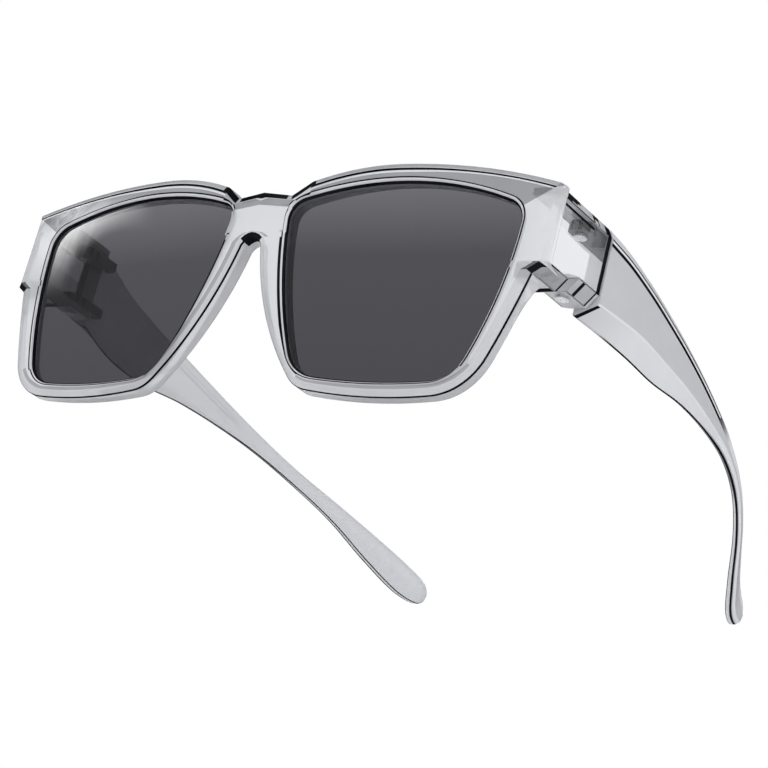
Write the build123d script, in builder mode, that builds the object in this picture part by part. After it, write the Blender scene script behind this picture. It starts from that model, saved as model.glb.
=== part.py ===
from build123d import *
from math import atan2, cos, sin
import os

# Fitover sunglasses, in millimetres.
# X runs to the wearer's left, Y from the front to the temple tips, Z up.
# The origin is midway along the length, on the surface that the rims and the temple tips rest on.
# The front leans back a little, because the tips end higher than the rims do.

os.makedirs("parts", exist_ok=True)

# Overall sizes
overall_length = 163.8
front_half_width = 74.6
front_height = 55.0

# Front: depth, wrap and edges
rim_depth = 4.9
rim_outer_depth = 2.9
wrap_back = 5.7
wrap_bulge = 0.7
face_bevel_width = 1.2
face_bevel_depth = 0.4
corner_chamfer = 1.3
rim_corner_radius = 15.0
nose_corner_radius = 9.0

# Lenses: the opening, its bevel and the groove that holds the lens
opening_bevel = 0.8
lens_thickness = 1.2
lens_setback = 1.1
groove_depth = 0.8
lens_clearance = 0.1
lens_top_inner_radius = 5.0
lens_top_outer_radius = 6.0
lens_bottom_outer_radius = 9.0
lens_bottom_inner_radius = 10.0

# End pieces: an outer panel with a shelf above and below, open behind and on the inside
end_length = 21.0
end_splay = 0.9
end_inset = 8.0
panel_thickness = 1.7
shelf_thickness = 1.6
end_chamfer_width = 1.2
end_chamfer_height = 2.2
facet_width = 2.4
facet_height = 3.0
step_rise = 2.0
step_length = 4.0
step_clearance = 1.1

# Temples
seam_gap = 0.6
temple_thickness = 2.8
tip_lift = 5.5
tip_radius = 3.5
tip_tilt = 16.0

# Hinges: a tongue of the temple turns on a headed pin that is fixed in each shelf
pivot_inset = 4.2
pivot_reach = 5.4
tongue_radius = 2.7
octagon_turn = 22.5
tongue_thickness = 2.3
tongue_gap = 0.2
tongue_root = 2.5
pin_radius = 0.75
pin_clearance = 0.05
head_radius = 1.5
head_height = 0.6
pin_end_gap = 0.2

# Outlines of half of the front, as shares of its half width and its height
arch_top_shares = (0.0, 0.675)
arch_foot_shares = (0.0375, 0.645)
nose_low_shares = (0.284, 0.029)
bottom_middle_shares = (0.523, 0.0)
rim_low_shares = (0.844, 0.033)
rim_notch_shares = (0.963, 0.515)
corner_low_shares = (1.0, 0.549)
corner_top_shares = (1.0, 0.891)
brow_top_shares = (0.456, 1.0)
brow_inner_shares = (0.161, 0.927)
bridge_notch_shares = (0.102, 0.864)
bridge_top_shares = (0.0, 0.877)
nose_bulge_share = 0.047
side_bulge_share = 0.009

# Outline of a lens opening, as shares of the same half width and height
lens_top_inner_shares = (0.105, 0.823)
lens_top_shares = (0.51, 0.915)
lens_top_outer_shares = (0.889, 0.798)
lens_outer_shares = (0.866, 0.437)
lens_bottom_outer_shares = (0.786, 0.087)
lens_bottom_shares = (0.523, 0.067)
lens_bottom_inner_shares = (0.271, 0.09)
lens_inner_shares = (0.161, 0.448)

# Sections of a temple from its front end to past its tip. Each row holds the share of the run, the outer
# face's inward move as a share of the half width, and the top and the bottom as shares of the front's
# height. Then come the thickness and the upper chamfer as shares of the temple's thickness, the lower
# facet's width as a share of the section's own thickness, and its height as a share of the front's height.
temple_section_shares = (
    (0.00, -0.013, 0.891, 0.527, 2.09, 0.80, 0.92, 0.042),
    (0.05, -0.025, 0.868, 0.510, 1.69, 0.80, 0.90, 0.061),
    (0.12, -0.033, 0.827, 0.490, 1.19, 0.75, 0.88, 0.085),
    (0.21, -0.031, 0.776, 0.481, 0.99, 0.67, 0.86, 0.083),
    (0.32, -0.018, 0.716, 0.505, 0.85, 0.53, 0.78, 0.050),
    (0.43, 0.001, 0.650, 0.506, 0.75, 0.44, 0.65, 0.026),
    (0.54, 0.030, 0.580, 0.485, 0.67, 0.37, 0.49, 0.017),
    (0.65, 0.078, 0.503, 0.425, 0.68, 0.36, 0.41, 0.016),
    (0.76, 0.151, 0.423, 0.324, 0.76, 0.36, 0.40, 0.016),
    (0.85, 0.222, 0.344, 0.199, 0.91, 0.36, 0.40, 0.016),
    (0.93, 0.282, 0.272, 0.111, 0.97, 0.36, 0.40, 0.015),
    (1.01, 0.324, 0.206, 0.096, 0.90, 0.32, 0.40, 0.010),
)

# How far from the middle and the side the edges lie that are bevelled
edge_margin = 1.0

# The rear of the rims in plan, and how far behind the face they touch the surface that they rest on
rear_line = SagittaArc((0, rim_depth), (front_half_width, wrap_back + rim_outer_depth), wrap_bulge)
rim_rest = (rear_line @ bottom_middle_shares[0]).Y
tip_rest = overall_length - tip_radius

# Work planes through the middle of the front's face, at the height of the rims' underside and leaning back
lean = atan2(tip_lift, tip_rest - rim_rest)
tip_end = tip_rest * cos(lean) + (tip_lift + tip_radius) * sin(lean) + tip_radius
arch_lead = arch_top_shares[1] * front_height * sin(lean)
face_start = (0, -(tip_end + arch_lead) / 2, rim_rest * sin(lean))
up = (0, sin(lean), cos(lean))
forward = (0, -cos(lean), sin(lean))
plan = Plane(origin=face_start, x_dir=(1, 0, 0), z_dir=up)
front = Plane(origin=face_start, x_dir=(1, 0, 0), z_dir=forward)
side = Plane(origin=face_start, x_dir=(0, cos(lean), -sin(lean)), z_dir=(1, 0, 0))

# Places worked out from the sizes above, from those planes
end_start = wrap_back + rim_outer_depth / 2
end_rear = wrap_back + end_length
shelf_top = corner_top_shares[1] * front_height
shelf_bottom = rim_notch_shares[1] * front_height
upper_shelf_under = shelf_top - shelf_thickness
lower_shelf_under = shelf_bottom + step_rise
lower_shelf_over = lower_shelf_under + shelf_thickness
temple_start = end_rear + seam_gap
temple_run = overall_length - temple_start
pivot = (front_half_width - pivot_inset, end_rear - pivot_reach)
step_rear = end_rear - pivot_reach - head_radius - step_clearance


def front_point(shares):
    """Return a point of the front from its shares of the half width and the height."""
    return (shares[0] * front_half_width, shares[1] * front_height)


def wrapped_band(start, depth, outer_depth):
    """Return the plan of half a curved band, from how far it starts behind the face and its two depths."""
    end = start + wrap_back
    with BuildSketch(plan) as band:
        with BuildLine():
            SagittaArc((0, start), (front_half_width, end), wrap_bulge)
            Line((front_half_width, end), (front_half_width, end + outer_depth))
            SagittaArc((0, start + depth), (front_half_width, end + outer_depth), wrap_bulge)
            Line((0, start + depth), (0, start))
        make_face()
    return band.sketch_local


def round_corner(outline, corner, radius):
    """Round the corner of the outline that lies nearest to that point."""
    fillet(outline.vertices().sort_by_distance(corner)[0], radius)


def lens_point(shares, grow):
    """Return a point of a lens outline, moved out from the lens's middle as the outline grows."""
    outer, top = front_point((lens_outer_shares[0], lens_top_shares[1]))
    inner, bottom = front_point((lens_inner_shares[0], lens_bottom_shares[1]))
    x, z = front_point(shares)
    middle_x = (outer + inner) / 2
    middle_z = (top + bottom) / 2
    return (
        x + grow * (x - middle_x) / (outer - middle_x),
        z + grow * (z - middle_z) / (top - middle_z),
    )


def lens_outline(grow=0.0):
    """Return a lens opening's outline on the front plane, grown all round by a length."""
    corners = [
        (lens_top_inner_shares, lens_top_inner_radius),
        (lens_top_outer_shares, lens_top_outer_radius),
        (lens_bottom_outer_shares, lens_bottom_outer_radius),
        (lens_bottom_inner_shares, lens_bottom_inner_radius),
    ]
    middles = [lens_top_shares, lens_outer_shares, lens_bottom_shares, lens_inner_shares]
    with BuildSketch(front) as opening:
        with BuildLine():
            for number, middle in enumerate(middles):
                start = corners[number][0]
                end = corners[(number + 1) % len(corners)][0]
                ThreePointArc(lens_point(start, grow), lens_point(middle, grow), lens_point(end, grow))
        make_face()
        for shares, radius in corners:
            round_corner(opening, lens_point(shares, grow), radius + grow)
    return opening.sketch_local


def lens_plate(grow, start, depth):
    """Return a curved plate with a lens's outline, grown by a length, that far behind the face."""
    with BuildPart() as plate:
        with BuildSketch(plan):
            add(wrapped_band(start, depth, depth))
        extrude(amount=front_height)
        with BuildSketch(front):
            add(lens_outline(grow))
        extrude(amount=-overall_length, mode=Mode.INTERSECT)
    return plate.part


def end_section(distance, under):
    """Return an end piece's section that far behind the face, with its underside at that height."""
    outer = front_half_width + end_splay * (distance - end_start) / (end_rear - end_start)
    inner = outer - end_inset
    with BuildSketch(front.offset(-distance)) as section:
        with BuildLine():
            Polyline(
                (outer, under + facet_height),
                (outer, shelf_top - end_chamfer_height),
                (outer - end_chamfer_width, shelf_top),
                (inner, shelf_top),
                (inner, upper_shelf_under),
                (outer - panel_thickness, upper_shelf_under),
                (outer - panel_thickness, lower_shelf_over),
                (inner, lower_shelf_over),
                (inner, under),
                (outer - facet_width, under),
                close=True,
            )
        make_face()
    return section.sketch


def temple_section(shares):
    """Return a temple's section from its row of shares: a slab with a lower facet and an upper chamfer."""
    run, inward, top_share, bottom_share, thickness_share, chamfer_share, facet_share, facet_rise = shares
    outer = front_half_width * (1 - inward)
    thickness = thickness_share * temple_thickness
    top = top_share * front_height
    bottom = bottom_share * front_height
    bevel = chamfer_share * temple_thickness
    with BuildSketch(front.offset(-temple_start - run * temple_run)) as section:
        with BuildLine():
            Polyline(
                (outer - thickness, bottom),
                (outer - facet_share * thickness, bottom),
                (outer, bottom + facet_rise * front_height),
                (outer, top - bevel),
                (outer - bevel / 2, top),
                (outer - thickness, top),
                close=True,
            )
        make_face()
    return section.sketch


def headed_pin(head_under, end):
    """Return a hinge pin on the pivot, from the underside of its head to its upper end."""
    with BuildPart() as pin:
        with BuildSketch(plan.offset(head_under)):
            with Locations(pivot):
                Circle(head_radius)
        extrude(amount=head_height)
        with BuildSketch(plan.offset(head_under)):
            with Locations(pivot):
                Circle(pin_radius)
        extrude(amount=end - head_under)
    return pin.part


# Lens in its groove, with a thin clearance all round
groove = lens_plate(groove_depth, lens_setback, lens_thickness + 2 * lens_clearance)

with BuildPart() as lens_left:
    add(lens_plate(groove_depth - lens_clearance, lens_setback + lens_clearance, lens_thickness))

# One end piece: the C-shaped section stretched back, with a step in its underside
with BuildPart() as end_piece:
    add(end_section(end_start, shelf_bottom))
    add(end_section(step_rear - step_length, shelf_bottom))
    add(end_section(step_rear, lower_shelf_under))
    add(end_section(end_rear, lower_shelf_under))
    loft(ruled=True)
    with BuildSketch(plan):
        with Locations(pivot):
            Rectangle(end_inset, end_inset, align=(Align.MAX, Align.MIN))
            Circle(pivot_reach, mode=Mode.SUBTRACT)
    extrude(amount=front_height, mode=Mode.SUBTRACT)
    with BuildSketch(plan):
        with Locations(pivot):
            Circle(pin_radius)
    extrude(amount=front_height, mode=Mode.SUBTRACT)

# Left half of the front: rim, half the bridge and brow, and an end piece
with BuildPart() as front_half:
    with BuildSketch(plan):
        add(wrapped_band(0, rim_depth, rim_outer_depth))
    extrude(amount=front_height)
    with BuildSketch(front) as rim_outline:
        with BuildLine():
            TangentArc(front_point(arch_top_shares), front_point(arch_foot_shares), tangent=(1, 0))
            SagittaArc(
                front_point(arch_foot_shares),
                front_point(nose_low_shares),
                -nose_bulge_share * front_height,
            )
            ThreePointArc(
                front_point(nose_low_shares),
                front_point(bottom_middle_shares),
                front_point(rim_low_shares),
            )
            SagittaArc(
                front_point(rim_low_shares),
                front_point(rim_notch_shares),
                -side_bulge_share * front_height,
            )
            Polyline(
                front_point(rim_notch_shares),
                front_point(corner_low_shares),
                front_point(corner_top_shares),
            )
            TangentArc(front_point(brow_top_shares), front_point(corner_top_shares), tangent=(1, 0))
            TangentArc(front_point(brow_top_shares), front_point(brow_inner_shares), tangent=(-1, 0))
            Polyline(
                front_point(brow_inner_shares),
                front_point(bridge_notch_shares),
                front_point(bridge_top_shares),
                front_point(arch_top_shares),
            )
        make_face()
        round_corner(rim_outline, front_point(nose_low_shares), nose_corner_radius)
        round_corner(rim_outline, front_point(rim_low_shares), rim_corner_radius)
    extrude(amount=-overall_length, mode=Mode.INTERSECT)
    face = front_half.faces().sort_by(SortBy.AREA)[-2:].sort_by(Axis.Y)[0]
    outline_edges = face.edges().filter_by(
        lambda edge: edge_margin < edge.center().X < front_half_width - edge_margin
    )
    chamfer(outline_edges, face_bevel_width, face_bevel_depth, reference=face)
    side_edges = front_half.edges().filter_by(
        lambda edge: edge.center().X > front_half_width - edge_margin and edge.length > corner_chamfer
    )
    corner_edges = side_edges.filter_by(Axis(face_start, up)).group_by(Axis.Y)[0]
    chamfer(corner_edges, corner_chamfer)
    with BuildSketch(front):
        add(lens_outline())
    extrude(amount=-overall_length, mode=Mode.SUBTRACT)
    face = front_half.faces().sort_by(SortBy.AREA)[-2:].sort_by(Axis.Y)[0]
    chamfer(face.inner_wires()[0].edges(), opening_bevel)
    add(groove, mode=Mode.SUBTRACT)
    add(end_piece.part)

# Front frame: both halves in one moulding
with BuildPart() as front_frame:
    add(front_half.part)
    mirror(about=Plane.YZ)


# Left temple: a bowed, drooping bar with a rounded tip and two hinge tongues
upper_tongue_under = upper_shelf_under - tongue_gap - tongue_thickness
lower_tongue_under = lower_shelf_over + tongue_gap

with BuildPart() as temple_left:
    for shares in temple_section_shares:
        add(temple_section(shares))
    loft()
    with BuildSketch(side):
        with Locations((overall_length - tip_radius, tip_lift + tip_radius)):
            Circle(tip_radius)
            Rectangle(
                2 * overall_length,
                2 * overall_length,
                rotation=-tip_tilt,
                align=(Align.MAX, Align.CENTER),
            )
    extrude(amount=2 * front_half_width, both=True, mode=Mode.INTERSECT)
    for under in (upper_tongue_under, lower_tongue_under):
        with BuildSketch(plan.offset(under)):
            with Locations(pivot):
                RegularPolygon(tongue_radius, 8, major_radius=False, rotation=octagon_turn)
                Rectangle(
                    2 * tongue_radius,
                    pivot_reach + seam_gap + tongue_root,
                    align=(Align.CENTER, Align.MIN),
                )
        extrude(amount=tongue_thickness)
    with BuildSketch(plan):
        with Locations(pivot):
            Circle(pin_radius + pin_clearance)
    extrude(amount=front_height, mode=Mode.SUBTRACT)


# The other side's pieces are mirror images
with BuildPart() as lens_right:
    add(mirror(lens_left.part, about=Plane.YZ))

with BuildPart() as temple_right:
    add(mirror(temple_left.part, about=Plane.YZ))

# Headed pins: each shaft is fixed in its shelf and the tongue turns on it
upper_head_under = upper_tongue_under - tongue_gap - head_height
lower_head_under = lower_shelf_under - head_height
upper_pin_end = shelf_top - pin_end_gap
lower_pin_end = lower_tongue_under + tongue_thickness + pin_end_gap

with BuildPart() as upper_pin_left:
    add(headed_pin(upper_head_under, upper_pin_end))

with BuildPart() as lower_pin_left:
    add(headed_pin(lower_head_under, lower_pin_end))

with BuildPart() as upper_pin_right:
    add(mirror(upper_pin_left.part, about=Plane.YZ))

with BuildPart() as lower_pin_right:
    add(mirror(lower_pin_left.part, about=Plane.YZ))

for name, piece in (
    ("front_frame", front_frame),
    ("lens_left", lens_left),
    ("lens_right", lens_right),
    ("temple_left", temple_left),
    ("temple_right", temple_right),
    ("upper_hinge_pin_left", upper_pin_left),
    ("upper_hinge_pin_right", upper_pin_right),
    ("lower_hinge_pin_left", lower_pin_left),
    ("lower_hinge_pin_right", lower_pin_right),
):
    piece.part.label = name
    export_step(piece.part, f"parts/{name}.step")
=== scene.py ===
"""Fitover sunglasses with a clear smoky frame and tinted lenses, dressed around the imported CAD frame.

Sizes are in millimetres in the part's own leaning frame: x to the wearer's left, y back from the middle of
the front's face, z up from the rims' underside. Lean.place turns such points into the shared frame, which
is in metres.
"""

import logging
import math
from dataclasses import dataclass
from enum import Enum, IntEnum

import bmesh
import bpy
import numpy as np
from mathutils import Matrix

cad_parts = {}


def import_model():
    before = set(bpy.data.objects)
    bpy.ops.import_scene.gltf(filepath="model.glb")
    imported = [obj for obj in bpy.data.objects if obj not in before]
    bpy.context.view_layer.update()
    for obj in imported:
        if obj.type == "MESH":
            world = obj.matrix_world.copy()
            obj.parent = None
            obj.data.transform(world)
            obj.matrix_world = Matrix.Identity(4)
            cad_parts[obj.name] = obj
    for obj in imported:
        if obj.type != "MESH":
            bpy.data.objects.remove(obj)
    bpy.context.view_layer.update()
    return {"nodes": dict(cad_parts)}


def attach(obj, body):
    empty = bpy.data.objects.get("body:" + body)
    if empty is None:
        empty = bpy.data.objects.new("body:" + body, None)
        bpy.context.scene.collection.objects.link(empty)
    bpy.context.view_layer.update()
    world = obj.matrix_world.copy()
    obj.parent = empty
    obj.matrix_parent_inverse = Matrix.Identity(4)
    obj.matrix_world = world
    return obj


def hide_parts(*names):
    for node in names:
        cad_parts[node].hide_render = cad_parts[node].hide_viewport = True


LOG = logging.getLogger("fitover_sunglasses")
MILLIMETRE = 0.001
HALF_WIDTH = 74.6  # of the front
HEIGHT = 55.0  # of the front
PIVOT = (70.4, 21.3)  # where the left hinge's axis stands, across and back
# the face attribute that holds each face's painted tone: painted dark lines, painted shade and painted
# highlights
PAINTED_TONE = "tone"
PICTURE = "picture_place"
CLEAR = 2.0  # added to the tones of faces in the clear finish
NEAR = 0.01  # how far apart two places may be that count as one, in millimetres
TINY = 1e-9  # a length that counts as none, in millimetres
ROUND = 2  # how many faces a profile has across the round of a corner
# a flat square's corners, with a half side of 1
SQUARE = np.array([(-1.0, -1.0, 0.0), (1.0, -1.0, 0.0), (1.0, 1.0, 0.0), (-1.0, 1.0, 0.0)])

Colour = tuple[float, float, float]
Pair = tuple[float, float]
Point = tuple[float, float, float]
Socket = bpy.types.NodeSocket


class PaintedTone(Enum):
    """How bright a strip of the moulding is painted: edges are painted dark for the dark that the plastic
    bends in, bands are painted shade, and pale stands for painted highlights and for sides painted lighter
    for the light they get.
    """

    EDGE = 0.0
    DEEP = 0.3
    MURK = 0.44
    SHADE = 0.5
    DULL = 0.65
    BODY = 0.75
    PALE = 1.0


class RimFlat(IntEnum):
    """The flats of the rims' profile, from the opening's bevel over the face and round to its wall."""

    LIP = 0
    FACE = 1
    BEVEL = 2
    WALL = 3
    REAR = 4
    OPENING = 5


class EndFlat(IntEnum):
    """The flats of an end piece's profile, from the panel over the top and round to the lower facet."""

    PANEL = 0
    CHAMFER = 1
    TOP = 2
    TOP_END = 3
    CEILING = 4
    LINING = 5
    FLOOR = 6
    FLOOR_END = 7
    UNDERSIDE = 8
    FACET = 9


# Curves in a plane, as arrays of points


def arc_through(start: Pair, middle: Pair, end: Pair, count: int) -> np.ndarray:
    """Return points on the circle that runs through three points, evenly by angle.

    The centre is where the two chords' perpendicular bisectors meet.

    Args:
        start: the first point.
        middle: a point between them.
        end: the last point.
        count: how many points to return.

    Returns:
        An array of count points.
    """
    a, b, c = (np.array(point, float) for point in (start, middle, end))
    chords = 2 * np.array([b - a, c - a])
    centre = np.linalg.solve(chords, [b @ b - a @ a, c @ c - a @ a])
    angles = [math.atan2(*(point - centre)[::-1]) for point in (a, b, c)]
    first = angles[0]
    to_middle = (angles[1] - first + math.pi) % (2 * math.pi) - math.pi
    to_end = (angles[2] - first) % (2 * math.pi)
    if to_middle < 0:
        to_end -= 2 * math.pi
    turn = first + np.linspace(0, to_end, count)
    radius = np.linalg.norm(a - centre)
    return centre + radius * np.stack([np.cos(turn), np.sin(turn)], axis=1)


def bulged(start: Pair, end: Pair, bulge: float, count: int) -> np.ndarray:
    """Return an arc that stands out from its chord to the left by a height, evenly by angle.

    Args:
        start: the first point.
        end: the last point.
        bulge: how far the arc's middle lies from the chord's, to the right where it is negative.
        count: how many points to return.

    Returns:
        An array of count points.
    """
    a, b = np.array(start, float), np.array(end, float)
    along = (b - a) / np.linalg.norm(b - a)
    middle = (a + b) / 2 + bulge * np.array([-along[1], along[0]])
    return arc_through(start, tuple(middle), end, count)


def tangent_arc(start: Pair, end: Pair, heading: Pair, count: int) -> np.ndarray:
    """Return an arc that leaves a point in a direction and reaches another.

    The radius is the chord squared over twice the chord's share across the heading.

    Args:
        start: the first point.
        end: the last point.
        heading: the direction at the first point, of length 1.
        count: how many points to return.

    Returns:
        An array of count points.
    """
    a, b = np.array(start, float), np.array(end, float)
    across = np.array([-heading[1], heading[0]])
    chord = b - a
    centre = a + across * (chord @ chord) / (2 * chord @ across)
    outward = (a + b) / 2 - centre
    middle = centre + outward / np.linalg.norm(outward) * np.linalg.norm(a - centre)
    return arc_through(start, tuple(middle), end, count)


def straight(start: Pair, end: Pair, count: int) -> np.ndarray:
    """Return evenly spaced points on a line."""
    return np.linspace(start, end, count)


def run_along(points: np.ndarray) -> np.ndarray:
    """Return how far along a line each of its points lies, from 0."""
    steps = np.linalg.norm(np.diff(points, axis=0), axis=1)
    return np.concatenate([[0.0], np.cumsum(steps)])


def at_distance(points: np.ndarray, distance: np.ndarray) -> np.ndarray:
    """Return the points of a line that lie those distances along it."""
    run = run_along(points)
    return np.stack([np.interp(distance, run, points[:, axis]) for axis in range(points.shape[1])], axis=-1)


def respaced(points: np.ndarray, count: int) -> np.ndarray:
    """Return a line's points spaced evenly."""
    return at_distance(points, np.linspace(0, run_along(points)[-1], count))


def crossing(a: np.ndarray, along_a: np.ndarray, b: np.ndarray, along_b: np.ndarray) -> np.ndarray:
    """Return where two lines cross, each given by a point and a direction."""
    shares = np.linalg.solve(np.stack([along_a, -along_b], axis=1), b - a)
    return a + shares[0] * along_a


def rounded_join(before: np.ndarray, after: np.ndarray, radius: float, count: int) -> list[np.ndarray]:
    """Return two lines that meet at a corner, cut back, with the corner's arc in two halves between them.

    The arc is the conic that is tangent to both lines, with the cosine of half the turn as its weight.

    Args:
        before: the line that ends at the corner.
        after: the line that starts there.
        radius: the corner's radius.
        count: how many points each half of the arc has.

    Returns:
        The cut line before, the arc's two halves and the cut line after.
    """
    heading_in = before[-1] - before[-2]
    heading_out = after[1] - after[0]
    turn = math.acos(
        np.clip(heading_in @ heading_out / np.linalg.norm(heading_in) / np.linalg.norm(heading_out), -1, 1)
    )
    setback = radius * math.tan(turn / 2)
    length = run_along(before)[-1]
    kept_before = at_distance(before, np.linspace(0, length - setback, len(before)))
    kept_after = at_distance(after, np.linspace(setback, run_along(after)[-1], len(after)))
    corner = crossing(
        kept_before[-1],
        kept_before[-1] - kept_before[-2],
        kept_after[0],
        kept_after[1] - kept_after[0],
    )
    weight = math.cos(turn / 2)
    t = np.linspace(0, 1, 2 * count - 1)[:, None]
    blend = [(1 - t) ** 2, 2 * weight * t * (1 - t), t**2]
    arc = (blend[0] * kept_before[-1] + blend[1] * corner + blend[2] * kept_after[0]) / sum(blend)
    return [kept_before, arc[:count], arc[count - 1 :], kept_after]


def joined(legs: list[np.ndarray]) -> np.ndarray:
    """Return lines that follow each other as one, with no point twice."""
    return np.concatenate([legs[0], *[leg[1:] for leg in legs[1:]]])


def offset_normals(points: np.ndarray) -> np.ndarray:
    """Return each point's outward offset for a width of 1, to the right of the way the line runs.

    At a corner it is the sum of both sides' normals over one plus their cosine, so that an offset line keeps
    its width on both sides. The line's two ends are left as they come: the caller extends it first.

    Args:
        points: the line's points.

    Returns:
        One offset for every point but the first and the last.
    """
    steps = np.diff(points, axis=0)
    steps = steps / np.linalg.norm(steps, axis=1, keepdims=True)
    normals = np.stack([steps[:, 1], -steps[:, 0]], axis=1)
    cosines = np.sum(normals[1:] * normals[:-1], axis=1, keepdims=True)
    return (normals[1:] + normals[:-1]) / (1 + cosines)


def unit(vectors: np.ndarray) -> np.ndarray:
    """Return vectors scaled to length 1, with a zero vector left as it is."""
    length = np.linalg.norm(vectors, axis=-1, keepdims=True)
    return vectors / np.where(length < TINY, 1.0, length)


# Surfaces, as grids of points


@dataclass(frozen=True)
class Strip:
    """One flat of a profile from one corner to the next, as bands of painted tone: painted dark lines,
    painted shade and pale painted highlights.

    Bands are (where it ends, tone): a positive place is that many millimetres from the first corner, a
    negative one is that far before the next corner, and the last band runs to the end. The middle band has
    some cuts across it where the strip is curved.
    """

    bands: tuple[tuple[float, PaintedTone], ...]
    corner: PaintedTone = PaintedTone.BODY
    cuts: int = 0

    @property
    def middle(self) -> int:
        """Return which band lies between those measured from the two corners."""
        return sum(1 for place, _ in self.bands if place > 0)

    @property
    def size(self) -> int:
        """Return how many faces the strip has across, with those of its first corner's round."""
        return ROUND + len(self.bands) + self.cuts


@dataclass(frozen=True)
class Patch:
    """A stretch along one flat whose bands have a painted tone of their own: painted dark, painted shade and
    pale stretches that stand in for the dark and light the plastic bends in.

    Bands are counted from 0, and -2 and -1 are the round before the first band.
    """

    flat: EndFlat
    bands: tuple[int, int]
    stretch: Pair
    tone: PaintedTone


def plain_strip(tone: PaintedTone, corner: PaintedTone | None = None) -> Strip:
    """Return a strip of one tone, whose next corner has its own tone or the same."""
    return Strip(((0.0, tone),), corner or tone)


def standing_corners(
    stations: np.ndarray, places: tuple[tuple[np.ndarray, np.ndarray], ...]
) -> np.ndarray:
    """Return the corners of a profile that is carried back, from where each lies across and up on the way.

    Args:
        stations: how far back each of the profile's stations lies.
        places: for each corner, where it lies across and up at every station.

    Returns:
        An array of corners by stations by three.
    """
    return np.array([np.stack([across, stations, up], axis=1) for across, up in places])


def flat_starts(strips: list[Strip]) -> list[int]:
    """Return the number of each flat's first face across, with its first corner's round, and the total."""
    return np.cumsum([0] + [strip.size for strip in strips]).tolist()


@dataclass
class Surface:
    """A mesh in the making: points in millimetres, faces and each face's tone."""

    points: np.ndarray
    faces: list[tuple[int, ...]]
    tones: list[float]

    def mirrored(self) -> "Surface":
        """Return the same surface on the other side of the middle plane, with its faces turned outwards."""
        points = self.points * np.array([-1.0, 1.0, 1.0])
        return Surface(points, [face[::-1] for face in self.faces], list(self.tones))

    def with_surface(self, other: "Surface") -> "Surface":
        """Return both surfaces as one.

        Args:
            other: the surface to add.

        Returns:
            A surface with this one's points and faces first.
        """
        count = len(self.points)
        moved = [tuple(index + count for index in face) for face in other.faces]
        points = np.concatenate([self.points, other.points])
        return Surface(points, self.faces + moved, self.tones + other.tones)


def profile_rings(
    corners: np.ndarray, strips: list[Strip], setback: float, on_axis: np.ndarray | None = None
) -> tuple[np.ndarray, list[float]]:
    """Return a closed profile's rings of points along its path, with rounded corners and bands.

    Corner c is cut back along both its strips by the setback, and the middle of the round is the parabola's
    point at a half: a quarter of each cut point and a half of the corner. Bands narrow where a strip does.

    Args:
        corners: an array of corners by path stations by three, in millimetres.
        strips: one for each corner, from it to the next.
        setback: how far the round starts from its corner.
        on_axis: true for stations whose rounds stay in the middle plane.

    Returns:
        An array of rings by stations by three, and the tone of the faces between each ring and the next.
    """
    rings, tones = [], []
    count = len(corners)
    for index, strip in enumerate(strips):
        here, before, after = corners[index], corners[index - 1], corners[(index + 1) % count]
        to_before, to_after, back_from_after = before - here, after - here, here - after
        if on_axis is not None:
            for vectors in (to_before, to_after, back_from_after):
                vectors[on_axis, 0] = 0.0
        start_cut = here + setback * unit(to_before)
        leave = here + setback * unit(to_after)
        previous = strips[index - 1].corner.value
        reaches = [max([sign * place for place, _ in strip.bands] + [0.0]) for sign in (1, -1)]
        room = np.linalg.norm(to_after, axis=-1, keepdims=True) / max(sum(reaches), setback)
        fit = np.minimum(room, 1.0)
        rings += [start_cut, 0.25 * start_cut + 0.5 * here + 0.25 * leave, leave]
        tones += [previous, previous]
        for number, (place, tone) in enumerate(strip.bands):
            last = number == len(strip.bands) - 1
            anchor, heading = (here, to_after) if place > 0 else (after, back_from_after)
            end = anchor + (setback if last else abs(place) * fit) * unit(heading)
            if number == strip.middle:
                shares = np.linspace(0, 1, strip.cuts + 2)[1:-1]
                rings += [rings[-1] + share * (end - rings[-1]) for share in shares]
                tones += [tone.value] * strip.cuts
            if not last:
                rings.append(end)
            tones.append(tone.value)
    return np.array(rings), tones


def ring_surface(
    rings: np.ndarray,
    tones: list[float] | np.ndarray,
    closed_path: bool = False,
    kept: np.ndarray | None = None,
    caps: tuple[PaintedTone | None, PaintedTone | None] = (None, None),
) -> Surface:
    """Return the surface that a closed profile's rings span along their path.

    Face (r, s) joins ring r to ring r + 1 and station s to station s + 1. The last ring meets the first.

    Args:
        rings: an array of rings by stations by three.
        tones: the tone of the faces between each ring and the next, or an array with one for every face.
        closed_path: whether the last station meets the first.
        kept: an array of rings by spans that is true for the faces to keep.
        caps: the tones of flat caps on the first and last stations, or None for an open end.

    Returns:
        The surface.
    """
    ring_count, station_count = rings.shape[:2]
    spans = station_count if closed_path else station_count - 1
    index = np.arange(ring_count * station_count).reshape(ring_count, station_count)
    next_ring = np.roll(index, -1, axis=0)
    next_index = np.roll(index, -1, axis=1)
    next_both = np.roll(next_ring, -1, axis=1)
    quads = np.stack([index, next_ring, next_both, next_index], axis=-1)[:, :spans]
    shades = np.broadcast_to(np.array(tones).reshape(ring_count, -1), (ring_count, spans))
    chosen = np.ones(quads.shape[:2], bool) if kept is None else kept
    faces = [tuple(face) for face in quads[chosen].tolist()]
    values = shades[chosen].tolist()
    for cap, station, turn in zip(caps, (0, -1), (-1, 1)):
        if cap is not None:
            faces.append(tuple(index[::turn, station].tolist()))
            values.append(cap.value)
    return Surface(rings.reshape(-1, 3), faces, values)


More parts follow.
